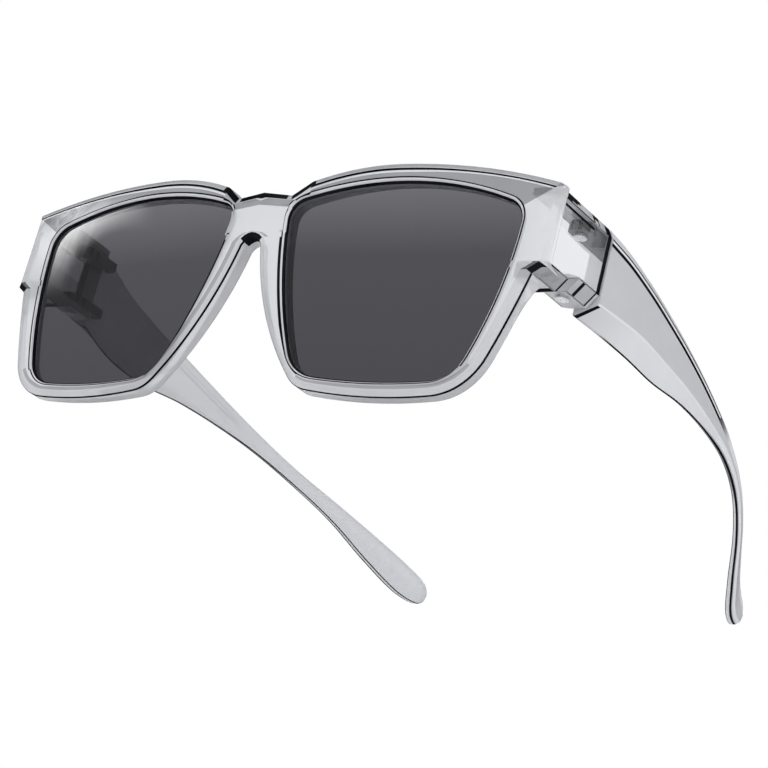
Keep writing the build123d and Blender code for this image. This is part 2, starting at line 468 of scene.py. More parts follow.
@dataclass(frozen=True)
class Lean:
    """The part's own frame, which leans back by a small angle on its rims and temple tips."""

    start: Point = (0.0, -82.67787585562239, 0.271023266268143)
    angle: float = 0.03598694505059006

    def place(self, points: np.ndarray) -> np.ndarray:
        """Return points in the shared frame, in metres.

        Args:
            points: points in the part's own frame, in millimetres.

        Returns:
            The points turned back by the lean about x and moved to the start.
        """
        across, back, up = np.moveaxis(points, -1, 0)
        cosine, sine = math.cos(self.angle), math.sin(self.angle)
        turned = np.stack([across, back * cosine + up * sine, up * cosine - back * sine], axis=-1)
        return (turned + np.array(self.start)) * MILLIMETRE


def make_piece(name: str, surface: Surface, lean: Lean, smooth_angle: float = 40.0) -> bpy.types.Object:
    """Put a surface into a mesh object with closed seams, outward faces and soft shading.

    Args:
        name: the piece's name.
        surface: its points, faces and tones.
        lean: the part's own frame.
        smooth_angle: the angle in degrees above which an edge stays crisp.

    Returns:
        The piece's object.
    """
    mesh = bpy.data.meshes.new(name)
    mesh.from_pydata(lean.place(surface.points).tolist(), [], surface.faces)
    layer = mesh.attributes.new(PAINTED_TONE, "FLOAT", "FACE")
    layer.data.foreach_set("value", np.array(surface.tones, np.float32))
    work = bmesh.new()
    work.from_mesh(mesh)
    bmesh.ops.remove_doubles(work, verts=work.verts, dist=NEAR * MILLIMETRE)
    loose = [vertex for vertex in work.verts if not vertex.link_faces]
    bmesh.ops.delete(work, geom=loose, context="VERTS")
    bmesh.ops.recalc_face_normals(work, faces=work.faces)
    work.to_mesh(mesh)
    open_edges = sum(1 for edge in work.edges if len(edge.link_faces) != 2)
    work.free()
    mesh.polygons.foreach_set("use_smooth", [True] * len(mesh.polygons))
    mesh.set_sharp_from_angle(angle=math.radians(smooth_angle))
    piece = bpy.data.objects.new(name, mesh)
    bpy.context.scene.collection.objects.link(piece)
    weighted = piece.modifiers.new("even_shading", "WEIGHTED_NORMAL")
    weighted.keep_sharp = True
    LOG.info("%s: %d faces, %d open edges", name, len(mesh.polygons), open_edges)
    return piece


# Finishes


class NodeGraph:
    """A small helper that adds shader nodes and joins their sockets."""

    noise_detail = 3.0

    def __init__(self, tree: bpy.types.NodeTree) -> None:
        """Clear the tree and keep it.

        Args:
            tree: the node tree of a material or a world.
        """
        self.tree = tree
        tree.nodes.clear()

    def feed(self, target: Socket, value: object) -> None:
        """Set an input socket to a value, or join it to an output socket.

        Args:
            target: the input socket.
            value: the value or the output socket.
        """
        if isinstance(value, bpy.types.NodeSocket):
            self.tree.links.new(value, target)
        else:
            target.default_value = value

    def add(self, kind: str, **values: object) -> bpy.types.Node:
        """Add a node, with its properties set and its inputs set or joined.

        Args:
            kind: the node's type name.
            values: properties by name, and values or output sockets by the input's name, in which an
                underscore stands for a space.

        Returns:
            The new node.
        """
        node = self.tree.nodes.new(kind)
        for name, value in values.items():
            if hasattr(node, name):
                setattr(node, name, value)
            else:
                self.feed(node.inputs[name.replace("_", " ")], value)
        return node

    def object_point(self) -> Socket:
        """Return the point on the piece, in its own metres."""
        return self.add("ShaderNodeTexCoord").outputs["Object"]

    def part_of(self, vector: Socket, axis: str) -> Socket:
        """Return a vector's X, Y or Z."""
        return self.add("ShaderNodeSeparateXYZ", Vector=vector).outputs[axis]

    def noise(self, point: Socket, scale: float) -> Socket:
        """Return a cloudy pattern from 0 to 1 that has as many clouds in a metre as the scale says."""
        node = self.add("ShaderNodeTexNoise", Vector=point, Scale=scale, Detail=self.noise_detail)
        return node.outputs["Fac"]

    def spread(self, factor: Socket, low: float, high: float) -> Socket:
        """Return a factor from 0 to 1 stretched between two values."""
        return self.add("ShaderNodeMapRange", Value=factor, To_Min=low, To_Max=high).outputs["Result"]

    def between(self, value: Socket, low: float, high: float, shape: str = "LINEAR") -> Socket:
        """Return 0 where a value is at the low end or past it, 1 at the high end and a share between.

        Args:
            value: the value to read.
            low: the value that gives 0, which may be the larger one.
            high: the value that gives 1.
            shape: how it runs between the ends.

        Returns:
            The share.
        """
        node = self.add("ShaderNodeMapRange", interpolation_type=shape, From_Min=low, From_Max=high)
        self.feed(node.inputs["Value"], value)
        return node.outputs["Result"]

    def maths(self, operation: str, first: Socket, second: Socket | float) -> Socket:
        """Return what an operation makes of two values.

        Args:
            operation: the operation's name.
            first: the first value.
            second: the second one.

        Returns:
            The result.
        """
        node = self.add("ShaderNodeMath", operation=operation)
        for target, value in zip(node.inputs, (first, second)):
            self.feed(target, value)
        return node.outputs["Value"]

    def ramp(self, factor: Socket, stops: list[tuple[float, Colour]]) -> Socket:
        """Return a colour that runs through stops as a factor grows.

        Args:
            factor: the factor from 0 to 1.
            stops: places and their linear colours.

        Returns:
            The colour socket.
        """
        node = self.add("ShaderNodeValToRGB", Fac=factor)
        elements = node.color_ramp.elements
        while len(elements) < len(stops):
            elements.new(1.0)
        for element, (place, colour) in zip(elements, stops):
            element.position = place
            element.color = (*colour, 1.0)
        return node.outputs["Color"]

    def blended(self, factor: Socket, first: Socket | Colour, second: Socket | Colour) -> Socket:
        """Return a colour that goes from the first to the second as a factor grows.

        Args:
            factor: the factor from 0 to 1.
            first: the colour at 0.
            second: the colour at 1.

        Returns:
            The colour socket.
        """
        node = self.add("ShaderNodeMixRGB", Fac=factor)
        for name, colour in (("Color1", first), ("Color2", second)):
            self.feed(node.inputs[name], (*colour, 1.0) if isinstance(colour, tuple) else colour)
        return node.outputs["Color"]

    def bump(self, height: Socket, distance: float) -> Socket:
        """Return a normal that is bumped by a height pattern, whose value of 1 stands for a distance."""
        return self.add("ShaderNodeBump", Height=height, Distance=distance).outputs["Normal"]

    def mixed(self, factor: Socket, first: bpy.types.Node, second: bpy.types.Node) -> bpy.types.Node:
        """Return a shader that goes from the first to the second as a factor grows.

        Args:
            factor: the factor from 0 to 1.
            first: the shader at 0.
            second: the shader at 1.

        Returns:
            The mix's node.
        """
        node = self.add("ShaderNodeMixShader", Fac=factor)
        for target, shader in zip(list(node.inputs)[1:], (first, second)):
            self.feed(target, shader.outputs[0])
        return node

    def finish(self, shader: bpy.types.Node) -> None:
        """Join a shader to the material's output."""
        self.add("ShaderNodeOutputMaterial", Surface=shader.outputs[0])


def new_material(name: str) -> tuple[bpy.types.Material, NodeGraph]:
    """Return a new material and its empty graph."""
    material = bpy.data.materials.new(name)
    material.use_nodes = True
    return material, NodeGraph(material.node_tree)


@dataclass(frozen=True)
class ClearPlastic:
    """Smoky see-through plastic: painted dark edges and painted shade by face, faint flow clouds, a fine
    ripple and tiny gloss changes.
    """

    name: str = "milky_grey_plastic"
    # colours of the painted tones: the painted dark of edge lines, painted shade, the body, and the pale of
    # painted highlights
    edge: Colour = (0.006, 0.006, 0.007)
    deep: Colour = (0.16, 0.162, 0.17)
    shade: Colour = (0.42, 0.425, 0.445)
    body: Colour = (0.70, 0.71, 0.735)
    pale: Colour = (0.82, 0.83, 0.85)
    refraction: float = 1.4
    transmission: float = 0.3
    cloud_scale: float = 60.0
    cloud_strength: float = 0.05
    ripple_scale: float = 260.0
    ripple_height: float = 0.00001
    roughness: Pair = (0.02, 0.06)

    def material(self) -> bpy.types.Material:
        """Return the finished material."""
        material, graph = new_material(self.name)
        point = graph.object_point()
        clouds = graph.noise(point, self.cloud_scale)
        painted = graph.add("ShaderNodeAttribute", attribute_name=PAINTED_TONE).outputs["Fac"]
        drift = graph.spread(clouds, -self.cloud_strength, self.cloud_strength)
        stops = [
            (PaintedTone.EDGE.value, self.edge),
            (PaintedTone.DEEP.value, self.deep),
            (PaintedTone.SHADE.value, self.shade),
            (PaintedTone.BODY.value, self.body),
            (PaintedTone.PALE.value, self.pale),
        ]
        shader = graph.add(
            "ShaderNodeBsdfPrincipled",
            Base_Color=graph.ramp(graph.maths("ADD", graph.maths("MODULO", painted, CLEAR), drift), stops),
            Roughness=graph.spread(clouds, *self.roughness),
            IOR=self.refraction,
            Transmission_Weight=self.transmission,
            Normal=graph.bump(graph.noise(point, self.ripple_scale), self.ripple_height),
        )
        graph.finish(shader)
        return material


@dataclass(frozen=True)
class TintedLens:
    """Dark polarised lens: a grey tint that deepens downwards, with a polished surface."""

    name: str = "dark_grey_lens"
    upper: Colour = (0.165, 0.163, 0.178)
    middle: Colour = (0.074, 0.072, 0.080)
    lower: Colour = (0.066, 0.064, 0.071)
    middle_share: float = 0.62
    gloss: float = 0.2
    low_height: float = 0.004
    high_height: float = 0.052
    refraction: float = 1.45
    wipe_scale: float = 45.0
    roughness: Pair = (0.0, 0.015)

    def material(self) -> bpy.types.Material:
        """Return the finished material."""
        material, graph = new_material(self.name)
        point = graph.object_point()
        height = graph.between(graph.part_of(point, "Z"), self.low_height, self.high_height)
        stops = [(0.0, self.lower), (self.middle_share, self.middle), (1.0, self.upper)]
        shader = graph.add(
            "ShaderNodeBsdfPrincipled",
            Base_Color=graph.ramp(height, stops),
            Roughness=graph.spread(graph.noise(point, self.wipe_scale), *self.roughness),
            IOR=self.refraction,
            Transmission_Weight=1.0,
            Specular_IOR_Level=self.gloss,
        )
        graph.finish(shader)
        return material


@dataclass(frozen=True)
class GrainedFinish:
    """An opaque finish whose brightness and roughness change with one fine noise."""

    name: str
    dark: Colour
    light: Colour
    grain_scale: float
    roughness: Pair
    metallic: float = 0.0
    gloss: float = 0.5
    grain_ends: Pair = (0.3, 0.7)

    def material(self) -> bpy.types.Material:
        """Return the finished material."""
        material, graph = new_material(self.name)
        grain = graph.noise(graph.object_point(), self.grain_scale)
        shader = graph.add(
            "ShaderNodeBsdfPrincipled",
            Base_Color=graph.ramp(grain, list(zip(self.grain_ends, (self.dark, self.light)))),
            Metallic=self.metallic,
            Roughness=graph.spread(grain, *self.roughness),
            Specular_IOR_Level=self.gloss,
        )
        graph.finish(shader)
        return material


# bright turned steel
PIN_STEEL = GrainedFinish(
    name="turned_pin_steel",
    dark=(0.5, 0.51, 0.53),
    light=(0.78, 0.79, 0.80),
    grain_scale=3000.0,
    roughness=(0.18, 0.38),
    metallic=1.0,
)
# painted shade for the mouldings' edge lines, which stands in for the dark that the plastic bends in: near
# black, with a grey drift and no gloss
EDGE_SHADE = GrainedFinish(
    name="plastic_edge_shade",
    dark=(0.004, 0.004, 0.005),
    light=(0.012, 0.012, 0.014),
    grain_scale=120.0,
    roughness=(0.25, 0.4),
    gloss=0.0,
)


# Sub-assemblies


@dataclass
class Columns:
    """Points of half the front's outline, each with its point of the lens opening.

    The last ones run down the middle line, from the bridge's top to the arch's top, and close the half.
    """

    outer: np.ndarray
    inner: np.ndarray
    off_middle: int

    @property
    def middle(self) -> np.ndarray:
        """Return true for the columns between the middle line's two ends."""
        return np.arange(len(self.outer)) >= self.off_middle

    @property
    def on_axis(self) -> np.ndarray:
        """Return true for the columns in the middle plane, the middle line's two ends among them.

        Returns:
            A flag for each column.
        """
        flags = self.middle
        flags[[0, self.off_middle - 1]] = True
        return flags

    @property
    def normals(self) -> np.ndarray:
        """Return the outline's outward offsets for a width of 1, with none on the middle line.

        Returns:
            An offset for each column.
        """
        chain = self.outer[: self.off_middle]
        mirror = np.array([-1.0, 1.0])
        extended = np.concatenate([chain[1:2] * mirror, chain, chain[-2:-1] * mirror])
        normals = np.zeros_like(self.outer)
        normals[: self.off_middle] = offset_normals(extended)
        return normals


@dataclass
class FrontMoulding:
    """The front: both rims, the bridge, the brow and the two end pieces, in one moulding.

    Outline places are shares of the half width and the height. A facing is a share of the outline's outward
    offset, past which a stretch counts as the upper, lower, nose or outer side when it is painted.
    """

    half_width: float = HALF_WIDTH
    height: float = HEIGHT
    rim_depth: float = 4.9
    rim_outer_depth: float = 2.9
    wrap_back: float = 5.7
    wrap_bulge: float = 0.7
    wrap_points: int = 200
    face_bevel: Pair = (1.2, 0.4)
    corner_chamfer: float = 1.3
    opening_bevel: float = 0.8
    edge_round: float = 0.16
    # the widths of the painted dark lines, and the reaches and low end of the painted shade at the bridge's
    # notch and over the arch
    edge_line: float = 0.36
    lens_line: float = 0.6
    wall_line: float = 0.5
    lens_edge: float = 0.55
    notch_reach: float = 13.0
    arch_reach: float = 4.6
    arch_low: float = 36.3
    # which way a stretch faces decides its painted shade or painted highlight
    facing_up: float = 0.5
    facing_down: float = -0.7
    facing_nose: float = -0.6
    facing_out: float = 0.8
    face_bands: tuple[float, float, float] = (1.5, 1.1, 0.6)
    gusset_height: float = 10.0
    gusset_depth: float = 4.0
    gusset_fade: float = 3.0
    rim_corner_radius: float = 15.0
    nose_corner_radius: float = 9.0
    lens_corner_radii: tuple[float, ...] = (10.0, 9.0, 6.0, 5.0)
    # how far apart columns are, and how many points the curves have
    spacing: float = 0.8
    loop_points: int = 4000
    loop_side_points: int = 60
    loop_round_points: int = 12
    end_stations: int = 40
    pivot_stations: int = 24
    # the end piece: where its panel's bands end below the chamfer, and its stretches of painted dark, painted
    # shade and pale by how far back they are
    panel_bands: tuple[float, ...] = (6.5, 2.7, 1.75, 1.15)
    chamfer_bands: Pair = (0.5, 1.3)
    end_patches: tuple[Patch, ...] = (
        Patch(EndFlat.PANEL, (-2, 0), (8.3, 11.5), PaintedTone.EDGE),
        Patch(EndFlat.PANEL, (3, 4), (11.0, 18.5), PaintedTone.SHADE),
        Patch(EndFlat.PANEL, (4, 5), (8.3, 20.0), PaintedTone.EDGE),
        Patch(EndFlat.CHAMFER, (-2, 0), (19.5, 25.4), PaintedTone.SHADE),
        Patch(EndFlat.CHAMFER, (0, 3), (8.3, 10.6), PaintedTone.EDGE),
        Patch(EndFlat.CHAMFER, (1, 3), (10.6, 13.0), PaintedTone.EDGE),
        Patch(EndFlat.CHAMFER, (2, 3), (13.0, 14.4), PaintedTone.EDGE),
        Patch(EndFlat.CHAMFER, (0, 3), (19.4, 20.1), PaintedTone.EDGE),
        Patch(EndFlat.CHAMFER, (2, 3), (20.1, 21.4), PaintedTone.EDGE),
        Patch(EndFlat.CHAMFER, (0, 3), (21.4, 21.9), PaintedTone.EDGE),
        Patch(EndFlat.TOP, (-2, 0), (8.3, 14.4), PaintedTone.EDGE),
        Patch(EndFlat.UNDERSIDE, (0, 3), (12.9, 14.6), PaintedTone.EDGE),
        Patch(EndFlat.FACET, (0, 3), (14.5, 15.2), PaintedTone.EDGE),
        Patch(EndFlat.FACET, (0, 3), (18.7, 25.4), PaintedTone.BODY),
        Patch(EndFlat.FACET, (0, 3), (20.4, 21.4), PaintedTone.EDGE),
        Patch(EndFlat.CHAMFER, (-2, 3), (24.4, 26.7), PaintedTone.EDGE),
        Patch(EndFlat.PANEL, (-2, 6), (25.4, 26.7), PaintedTone.EDGE),
        Patch(EndFlat.FACET, (0, 3), (25.4, 25.9), PaintedTone.EDGE),
        Patch(EndFlat.FACET, (-2, 3), (25.9, 26.7), PaintedTone.PALE),
    )
    end_start: float = 8.3
    end_rear: float = 26.7
    end_splay_start: float = 7.15
    end_splay: float = 0.9
    end_inset: float = 8.0
    panel_thickness: float = 1.7
    shelf_thickness: float = 1.6
    end_chamfer: Pair = (1.2, 2.2)
    facet: Pair = (2.4, 3.0)
    step_rise: float = 2.0
    step_ends: Pair = (14.7, 18.7)
    pivot: Pair = PIVOT
    pivot_reach: float = 5.4
    # the outline from the arch's top outwards and round to the bridge's top, then the lens opening
    arch_top: Pair = (0.0, 0.675)
    arch_foot: Pair = (0.0375, 0.645)
    nose_low: Pair = (0.284, 0.029)
    bottom_middle: Pair = (0.523, 0.0)
    rim_low: Pair = (0.844, 0.033)
    rim_notch: Pair = (0.963, 0.515)
    corner_low: Pair = (1.0, 0.549)
    corner_top: Pair = (1.0, 0.891)
    brow_top: Pair = (0.456, 1.0)
    brow_inner: Pair = (0.161, 0.927)
    bridge_notch: Pair = (0.102, 0.864)
    bridge_top: Pair = (0.0, 0.877)
    nose_bulge: float = 0.047
    side_bulge: float = 0.009
    lens_corners: tuple[Pair, ...] = ((0.271, 0.09), (0.786, 0.087), (0.889, 0.798), (0.105, 0.823))
    lens_middles: tuple[Pair, ...] = ((0.523, 0.067), (0.866, 0.437), (0.51, 0.915), (0.161, 0.448))

    def at(self, shares: Pair) -> Pair:
        """Return a point of the front from its shares of the half width and the height."""
        return (shares[0] * self.half_width, shares[1] * self.height)

    def bow(self, across: np.ndarray, start: float, depth: float) -> np.ndarray:
        """Return how far back the wrapped face or rear lies: the arc through its ends with the wrap's bulge.

        Args:
            across: distances from the middle plane.
            start: how far back it starts at the middle.
            depth: how much deeper it is at the side.

        Returns:
            The distance back for each.
        """
        line = bulged((0.0, start), (self.half_width, start + depth), self.wrap_bulge, self.wrap_points)
        return np.interp(np.abs(across), line[:, 0], line[:, 1])

    def face_back(self, across: np.ndarray) -> np.ndarray:
        """Return how far back the face lies at those distances from the middle plane."""
        return self.bow(across, 0.0, self.wrap_back)

    def rear_back(self, across: np.ndarray) -> np.ndarray:
        """Return how far back the rear lies at those distances from the middle plane."""
        return self.bow(across, self.rim_depth, self.wrap_back + self.rim_outer_depth - self.rim_depth)

    def outer_legs(self) -> list[np.ndarray]:
        """Return half the front's outline from the arch's top round to the bridge's top, as legs.

        The last number that each leg is made with is how many points it has.

        Returns:
            The legs in order, each from where the last one ends.
        """
        at = self.at
        nose = bulged(at(self.arch_foot), at(self.nose_low), -self.nose_bulge * self.height, 80)
        bottom = arc_through(at(self.nose_low), at(self.bottom_middle), at(self.rim_low), 120)
        side = bulged(at(self.rim_low), at(self.rim_notch), -self.side_bulge * self.height, 60)
        nose, nose_in, nose_out, bottom = rounded_join(nose, bottom, self.nose_corner_radius, 12)
        bottom, low_in, low_out, side = rounded_join(bottom, side, self.rim_corner_radius, 16)
        middle = len(bottom) // 2
        return [
            tangent_arc(at(self.arch_top), at(self.arch_foot), (1.0, 0.0), 12),
            nose,
            nose_in,
            nose_out,
            bottom[: middle + 1],
            bottom[middle:],
            low_in,
            low_out,
            side,
            straight(at(self.rim_notch), at(self.corner_low), 8),
            straight(at(self.corner_low), at(self.corner_top), 24),
            tangent_arc(at(self.brow_top), at(self.corner_top), (1.0, 0.0), 60)[::-1],
            tangent_arc(at(self.brow_top), at(self.brow_inner), (-1.0, 0.0), 40),
            straight(at(self.brow_inner), at(self.bridge_notch), 10),
            straight(at(self.bridge_notch), at(self.bridge_top), 10),
        ]

    def lens_loop(self) -> np.ndarray:
        """Return the lens opening's outline, the same way round and closed, from its nose side's top.

        Returns:
            The outline's points, with the first one again at the end.
        """
        corners = [self.at(point) for point in self.lens_corners]
        middles = [self.at(point) for point in self.lens_middles]
        sides = [
            arc_through(corners[n - 1], middles[n - 1], corners[n], self.loop_side_points)
            for n in range(len(corners))
        ]
        rounds = []
        for number, radius in enumerate(self.lens_corner_radii):
            following = (number + 1) % len(sides)
            cut = rounded_join(sides[number], sides[following], radius, self.loop_round_points)
            sides[number], *halves, sides[following] = cut
            rounds.append(halves)
        line = joined([part for side, halves in zip(sides, rounds) for part in (side, *halves)])
        return np.concatenate([line, line[:1]])

    def matched_columns(self) -> Columns:
        """Return the outline's points with a lens loop point for each.

        Each leg's two ends take the nearest point of the lens loop, and the points between are spread evenly
        between those. The last leg runs down the middle line and closes the half.

        Returns:
            The matched points.
        """
        loop = self.lens_loop()
        total = run_along(loop)[-1]
        fine = at_distance(loop, np.linspace(0, total, self.loop_points, endpoint=False))

        def nearest(point: np.ndarray) -> float:
            """Return how far along the loop the point lies that is nearest to another."""
            return np.argmin(np.linalg.norm(fine - point, axis=1)) / self.loop_points * total

        legs = [*self.outer_legs(), straight(self.at(self.bridge_top), self.at(self.arch_top), 20)]
        outer, inner = [], []
        end = nearest(legs[0][0])
        for leg in legs:
            count = max(3, int(run_along(leg)[-1] / self.spacing))
            points = respaced(leg, count + 1)
            start = end
            end = start + (nearest(points[-1]) - start + total / 2) % total - total / 2
            outer.append(points[:-1])
            inner.append(at_distance(loop, np.linspace(start, end, count + 1)[:-1] % total))
        off_middle = sum(len(part) for part in outer[:-1]) + 1
        return Columns(np.concatenate(outer), np.concatenate(inner), off_middle)

    def gusset_back(self, outline: np.ndarray) -> np.ndarray:
        """Return how much further back the side wall reaches below the end piece, to carry it.

        With s the share of the gusset's height, that is its depth times one minus the root of one minus s
        squared, which is a quarter of an ellipse. It ends above the notch, inside the end piece.

        Args:
            outline: points of the outline.

        Returns:
            The distance for each point.
        """
        share = np.clip((outline[:, 1] - self.at(self.rim_notch)[1]) / self.gusset_height + 1, 0, 1)
        beside = outline[:, 0] > self.at(self.lens_corners[1])[0]
        below = outline[:, 1] < self.at(self.corner_low)[1] + NEAR
        return np.where(beside & below, self.gusset_depth * (1 - np.sqrt(1 - share**2)), 0.0)

    def rim_corners(self, columns: Columns, gusset: np.ndarray) -> np.ndarray:
        """Return the six corners of the rims' profile, from the opening's front edge round to its rear edge.

        Args:
            columns: the outline's points with those of the lens opening.
            gusset: how much further back the wall reaches in each column.

        Returns:
            An array of corners by columns by three.
        """
        outer, inner, middle = columns.outer, columns.inner, columns.middle
        around = np.concatenate([inner[-1:], inner, inner[:1]])
        steps = unit(around[2:] - around[:-2])
        inner_normals = np.stack([steps[:, 1], -steps[:, 0]], axis=1)
        side = outer[:, 0] > self.half_width - NEAR
        bevel_width = np.where(side, self.corner_chamfer, self.face_bevel[0])[:, None]
        bevel_depth = np.where(side, self.corner_chamfer, self.face_bevel[1])
        face_inner = inner + self.opening_bevel * inner_normals
        face_outer = outer - bevel_width * columns.normals
        top, bottom = face_outer[columns.off_middle - 1, 1], face_outer[0, 1]
        face_outer[middle, 1] = top + np.linspace(0, 1, middle.sum() + 2)[1:-1] * (bottom - top)
        wall = outer.copy()
        for line in (face_outer, wall):
            line[columns.on_axis, 0] = 0.0
        places = (
            (inner, self.face_back(inner[:, 0]) + self.opening_bevel),
            (face_inner, self.face_back(face_inner[:, 0])),
            (face_outer, self.face_back(face_outer[:, 0])),
            (wall, self.face_back(wall[:, 0]) + bevel_depth),
            (wall, self.rear_back(wall[:, 0]) + gusset),
            (inner, self.rear_back(inner[:, 0])),
        )
        return np.array([np.stack([line[:, 0], back, line[:, 1]], axis=1) for line, back in places])

    def rim_strips(self) -> list[Strip]:
        """Return the rims' flats: the opening's bevel, face, outer bevel, wall, rear and the opening's wall.

        Returns:
            The strips in the order of the flats.
        """
        line = self.edge_line
        wide, middle, last = self.face_bands
        # painted dark lines at the lens and along the wall, and painted shade on the face towards its outer
        # bevel
        face = (
            (self.lens_edge, PaintedTone.EDGE),
            (-wide, PaintedTone.PALE),
            (-middle, PaintedTone.SHADE),
            (-last, PaintedTone.SHADE),
            (0.0, PaintedTone.BODY),
        )
        return [
            Strip(((self.lens_line, PaintedTone.EDGE), (0.0, PaintedTone.PALE)), PaintedTone.PALE),
            Strip(face, PaintedTone.BODY, cuts=4),
            plain_strip(PaintedTone.BODY, PaintedTone.EDGE),
            Strip(((self.wall_line, PaintedTone.EDGE), (-line, PaintedTone.PALE), (0.0, PaintedTone.BODY)), PaintedTone.BODY, cuts=1),
            Strip(((line, PaintedTone.BODY), (-line, PaintedTone.PALE), (0.0, PaintedTone.BODY)), PaintedTone.BODY, cuts=4),
            Strip(((line, PaintedTone.BODY), (-line, PaintedTone.PALE), (0.0, PaintedTone.EDGE)), PaintedTone.EDGE),
        ]

    def rim_shades(
        self, columns: Columns, starts: list[int], tones: list[float], nose_band: PaintedTone
    ) -> np.ndarray:
        """Return the tone of each face of the rims: the flats' own, painted over where a stretch differs.

        Faces are counted from a flat's start, where the first two are the round of its corner.

        Args:
            columns: the outline's points, which say where each stretch is.
            starts: the number of each flat's first face across.
            tones: the tone of the faces between each ring and the next.
            nose_band: the painted tone of the face's band along the nose.

        Returns:
            An array of faces across by columns.
        """
        across, up = columns.outer.T
        out, rising = columns.normals.T
        off_middle = ~columns.middle
        upper, lower = rising > self.facing_up, rising < self.facing_down
        nose, beside = out < self.facing_nose, (out > self.facing_out) & (up < self.at(self.rim_notch)[1])
        notch = off_middle & (up > self.at(self.bridge_notch)[1]) & (across < self.notch_reach)
        arch = off_middle & (up <= self.at(self.arch_top)[1]) & (up > self.arch_low)
        arch &= across < self.arch_reach
        pocket = (across > self.at(self.rim_notch)[0] - NEAR) & (up < self.at(self.corner_low)[1] - NEAR)
        corner = np.flatnonzero(across > self.half_width - NEAR)[:-1]
        face, bevel, wall, rear = starts[RimFlat.FACE : RimFlat.OPENING]
        shades = np.repeat(np.array(tones)[:, None], len(across), axis=1)
        # painted shade: a grey band and dark lines on the upper side, a dark line at the lens below, on the
        # nose side and in the middle, painted dark at the bridge's notch, the arch and the pocket, and a
        # painted highlight down the side corner
        for where, first, past, tone in (
            (upper, face + 3, bevel - 2, PaintedTone.MURK),
            (upper, bevel - 2, bevel - 1, PaintedTone.PALE),
            (upper, bevel - 1, bevel + 1, PaintedTone.EDGE),
            (upper, bevel + 2, wall, PaintedTone.SHADE),
            (upper, wall, wall + 3, PaintedTone.BODY),
            (lower, face, face + 2, PaintedTone.EDGE),
            (lower, face + 2, face + 3, PaintedTone.PALE),
            (nose | columns.middle, face, face + 3, PaintedTone.EDGE),
            (nose, bevel - 3, bevel, nose_band),
            (beside, bevel - 3, bevel - 1, PaintedTone.BODY),
            (notch, bevel, wall + 3, PaintedTone.EDGE),
            (arch, bevel + 2, wall + 4, PaintedTone.EDGE),
            (pocket, bevel - 3, bevel, PaintedTone.DEEP),
            (pocket, bevel, wall + 2, PaintedTone.EDGE),
            (pocket, wall + 2, rear + 2, PaintedTone.SHADE),
            (corner, bevel - 3, rear, PaintedTone.PALE),
        ):
            shades[first:past, where] = tone.value
        return shades

    def rim_half(self, nose_band: PaintedTone) -> Surface:
        """Return the left half of both rims' moulding, open only along the middle plane.

        Each column joins a point of the outline to a point of the lens opening, and its profile runs round
        the opening's bevel, the face, the outer bevel, the wall and the rear. Face and rear follow the wrap
        between their corners, and the gusset's depth fades out across the rear by the square. On the middle
        line the rounds of the bevel and the rear shrink to a point, and faces in that plane are left out.

        Args:
            nose_band: the painted tone of the face's band along the nose.

        Returns:
            The half's surface.
        """
        columns = self.matched_columns()
        gusset = self.gusset_back(columns.outer)
        corners = self.rim_corners(columns, gusset)
        strips = self.rim_strips()
        rings, tones = profile_rings(corners, strips, self.edge_round, columns.on_axis)
        starts = flat_starts(strips)
        face = slice(starts[RimFlat.FACE] + ROUND, starts[RimFlat.BEVEL] + 1)
        rear = slice(starts[RimFlat.REAR] + ROUND, starts[RimFlat.OPENING] + 1)
        rings[face, :, 1] = self.face_back(rings[face, :, 0])
        inwards = np.linalg.norm(rings[rear][..., [0, 2]] - columns.outer, axis=-1) / self.gusset_fade
        fade = np.clip(1 - inwards, 0, 1) ** 2
        rings[rear, :, 1] = self.rear_back(rings[rear, :, 0]) + gusset * fade
        for flat in (RimFlat.BEVEL, RimFlat.REAR):
            across = slice(starts[flat], starts[flat] + ROUND + 1)
            rings[across, columns.middle] = corners[flat, columns.middle]
        in_plane = np.abs(rings[..., 0]) < TINY
        in_plane &= np.roll(in_plane, -1, axis=0)
        kept = ~(in_plane & np.roll(in_plane, -1, axis=1))
        shades = self.rim_shades(columns, starts, tones, nose_band)
        return ring_surface(rings, shades, closed_path=True, kept=kept)

    def end_piece(self) -> Surface:
        """Return the left end piece: a C-shaped profile carried back, stepped below, rounded by the pivot.

        The inner ends of its shelves follow the circle of the hinge's reach behind the pivot. The panel's
        upper bands and its lining are clear, so that the hinge shows through them.

        Returns:
            The end piece's closed surface.
        """
        even = np.linspace(self.end_start, self.end_rear, self.end_stations)
        painted = [place for patch in self.end_patches for place in patch.stretch]
        near_pivot = self.pivot[1] + self.pivot_reach * np.sin(
            np.linspace(0, np.pi / 2, self.pivot_stations)
        )
        stations = np.unique(np.concatenate([even, near_pivot, self.step_ends, painted]).round(6))
        splay = (stations - self.end_splay_start) / (self.end_rear - self.end_splay_start)
        outer = self.half_width + self.end_splay * splay
        behind = np.clip(stations - self.pivot[1], 0, self.pivot_reach)
        round_end = self.pivot[0] - np.sqrt(self.pivot_reach**2 - behind**2)
        inner = np.maximum(outer - self.end_inset, np.where(behind > 0, round_end, -np.inf))
        panel_inner = outer - self.panel_thickness
        top = np.full_like(stations, self.at(self.corner_top)[1])
        low = self.at(self.rim_notch)[1]
        under = low + np.interp(stations, self.step_ends, (0.0, self.step_rise))
        shelf_over = np.full_like(stations, low + self.step_rise + self.shelf_thickness)
        places = (
            (outer, under + self.facet[1]),
            (outer, top - self.end_chamfer[1]),
            (outer - self.end_chamfer[0], top),
            (inner, top),
            (inner, top - self.shelf_thickness),
            (panel_inner, top - self.shelf_thickness),
            (panel_inner, shelf_over),
            (inner, shelf_over),
            (inner, under),
            (outer - self.facet[0], under),
        )
        line = self.edge_line
        panel = [(-reach, PaintedTone.PALE) for reach in (*self.panel_bands, 0.0)]
        above, below = self.chamfer_bands
